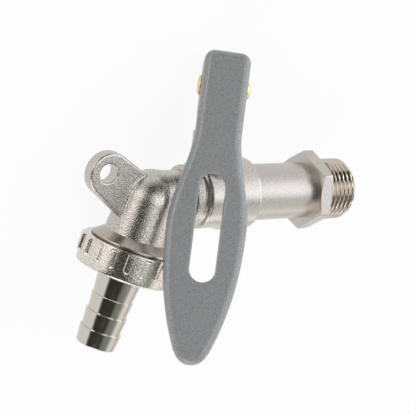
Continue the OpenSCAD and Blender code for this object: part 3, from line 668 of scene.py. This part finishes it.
def lever_form(x, y, z):
    """Distance in mm to the lever's surface. X is the pin, -Z runs down, -Y is outwards."""
    down, out = -z, -y
    half = neck_half + (paddle_half - neck_half) * step_up(neck_end, paddle_at, down)
    shank = round_cut((np.abs(x) - half) * shank_scale, -lever_top - down, corner_round)
    reach = np.clip((down - paddle_at) / (lever_reach - paddle_at), 0, 1)
    flank = (np.abs(x) - paddle_half * (1 - tip_narrowing * reach ** tip_power)) * (
        1 - flank_easing * reach ** 2)
    past_middle = down - lever_reach + tip_r
    round_tip = np.hypot(x, past_middle) - tip_r
    paddle = np.where(past_middle > np.abs(x) * tip_slope, round_tip, flank)
    outline = np.where(down > paddle_at, paddle, shank)
    depth = np.where(
        down < flange_mid,
        flange_depth + (flange_mid_depth - flange_depth) * step_up(flange_full, flange_mid, down),
        flange_mid_depth + (web_t - flange_mid_depth) * step_up(flange_mid, flange_out, down))
    solid = round_cut(round_cut(outline, out - lever_face, front_round),
                      lever_face - depth - out, back_round)
    channel = np.maximum.reduce([np.abs(x) - channel_half, out - lever_face + web_t,
                                 end_wall - lever_top - down, down - flange_out - channel_past])
    slot_end = np.maximum(np.abs(down - slot_mid) - slot_straight, 0)
    slot = np.hypot(x - slot_aside, slot_end) - slot_half
    pin = np.hypot(y, z) - pin_hole_r
    solid = round_cut(solid, -channel, channel_round)
    return np.maximum(round_cut(solid, -slot, slot_round), -pin)


lever_place = (Matrix.Translation((0, stem_y * MM, pin_height * MM))
               @ Matrix.Rotation(lever_turn, 4, "Z") @ Matrix.Rotation(-lever_lean, 4, "X")
               @ Matrix.Rotation(lever_slack, 4, "Y"))
paint, add = blank_material("satin_grey_paint")
place = add("ShaderNodeTexCoord")
peel = add("ShaderNodeTexNoise", {"Vector": place.outputs["Object"], "Scale": 1500.0,
                                  "Detail": 2.0})
fleck = add("ShaderNodeTexNoise", {"Vector": place.outputs["Object"], "Scale": 3000.0,
                                   "Detail": 1.0})
skin_bump = add("ShaderNodeBump", {"Height": peel.outputs["Fac"], "Strength": 0.16,
                                   "Distance": 0.2 * MM})
fleck_step = add("ShaderNodeMapRange", {"Value": fleck.outputs["Fac"], "From Min": 0.35,
                                        "From Max": 0.65})
paint_rough = add("ShaderNodeMapRange", {"Value": peel.outputs["Fac"], "From Min": 0.3,
                                         "From Max": 0.7, "To Min": 0.24, "To Max": 0.34})
coat = add("ShaderNodeBsdfPrincipled", {
    "Base Color": blended(add, fleck_step.outputs[0], (0.25, 0.253, 0.257), (0.39, 0.394, 0.40)),
    "Specular IOR Level": 0.8, "Roughness": paint_rough.outputs[0],
    "Normal": skin_bump.outputs[0]})
add("ShaderNodeOutputMaterial", {"Surface": coat.outputs[0]})
put_together(skin_of("slotted_lever", lever_form, (-13.5, -10.3, -89.2), (13.5, 4.2, 12.2), 0.3),
             paint, "lever", ["lever"], lever_place)

# Lever pin. Bare brass, with a formed head on one side, riveted over on the other after
# it is pushed through both flanges and the stem.
pin_r, pin_outside = 2.0, 7.35
pin_profile = eased([
    (0.02, -pin_outside - 1.0), (1.9, -pin_outside - 0.92, 0.6), (3.05, -pin_outside - 0.6, 0.5),
    (3.3, -pin_outside - 0.15, 0.15), (3.2, -pin_outside + 0.02, 0.1),
    (pin_r, -pin_outside + 0.02),
    (pin_r, pin_outside - 0.02), (2.8, pin_outside - 0.02, 0.1), (2.9, pin_outside + 0.3, 0.2),
    (2.4, pin_outside + 1.05, 0.5), (1.3, pin_outside + 1.25, 0.4), (0.02, pin_outside + 1.3)])
put_together(ring_skin("riveted_pin", turned_rings(pin_profile, 64), capped=True), bare_brass,
             "lever", ["lever_pin"],
             lever_place @ Matrix.Rotation(math.radians(90), 4, "Y"))

# Hose tail. Turned and bright plated, with a flange under the nut, a long tapered neck
# and three barbs whose sharp shoulders hold the hose.
tail_flange_top, tail_flange_low, nut_low = 22.7, 24.3, 25.9
tail_neck_r, neck_end_r, barb_r, barb_root_r, tail_flange_r = 7.5, 6.675, 6.95, 6.4, 12.7
first_barb, barb_pitch, tail_end, tail_bore_r = 34.0, 5.6, 50.8, 4.75
tail_turning = [(tail_bore_r, -tail_end, 0.5), (barb_root_r, -tail_end, 0.35)]
for barb in (2, 1, 0):
    ridge = first_barb + barb * barb_pitch
    above = neck_end_r if barb == 0 else barb_root_r
    tail_turning += [(barb_r, -ridge - 0.1, 0.14), (above, -ridge, 0.06)]
tail_turning += [(tail_neck_r, -nut_low, 0.3), (tail_neck_r, -tail_flange_low),
                 (tail_flange_r, -tail_flange_low, 0.2), (tail_flange_r, -tail_flange_top, 0.2),
                 (tail_bore_r, -tail_flange_top, 0.3)]
tail_nickel = turned_nickel("tail_nickel", "Z", 0.03, 0.09, 0.14,
                            (0.56, 0.53, 0.48), (0.64, 0.61, 0.55), outlet_lean)
face_evenly(put_together(
    ring_skin("barbed_tail", turned_rings(eased(tail_turning), 192)),
    tail_nickel, "hose_tail", ["hose_tail"], outlet_place))

# Union nut. Cast with eighteen round-ended grip ribs, bored and threaded, then blasted and
# plated like the body. Its inner flange presses the tail and gasket up to the outlet.
nut_top, nut_r, nut_hole_r, nut_lip_r = 16.5, 15.55, 13.35, 7.8
ribs, rib_phase, rib_half, rib_high = 18, math.radians(8.6), 1.15, 0.85
rib_top, rib_low, rib_flank, rib_edge = 17.1, 21.86, 0.5, 0.12
nut_round, nut_edge, ribs_from, ribs_to, ring_step = 1.4, 0.45, 17.0, 23.8, 0.16


def ribbed(r, angle, height):
    """Raises the ribs off the nut's outside."""
    down = -height
    pitch = 2 * math.pi / ribs
    across = ((angle - rib_phase + pitch / 2) % pitch - pitch / 2) * nut_r
    edge = np.where(down > rib_low, np.hypot(across, down - rib_low), np.abs(across)) - rib_half
    edge = np.maximum(edge, rib_top - down)
    outside = r > nut_r - 1
    return r + np.where(outside, rib_high * step_up(rib_edge, rib_edge - rib_flank, edge), 0)


nut_outline = eased([
    (nut_lip_r, -nut_low, 0.3), (nut_r, -nut_low, nut_round),
    (nut_r, -nut_low + 2.0)], 7)[:-1].tolist()
nut_outline += [(nut_r, -s) for s in np.arange(ribs_to, ribs_from, -ring_step)]
nut_outline += eased([(nut_r, -nut_top - 0.5), (nut_r, -nut_top, nut_edge),
                      (nut_hole_r, -nut_top, 0.3), (nut_hole_r, -tail_flange_low, 0.1),
                      (nut_lip_r, -tail_flange_low, 0.1)], 4).tolist()
nut_nickel = blasted_nickel("nut_satin_nickel", 2300.0, 0.27, 0.16, 0.28,
                            (0.53, 0.49, 0.445), (0.90, 0.84, 0.765))
put_together(ring_skin("ribbed_nut", turned_rings(nut_outline, 900, ribbed)), nut_nickel,
             "union_nut", ["union_nut"], outlet_place)
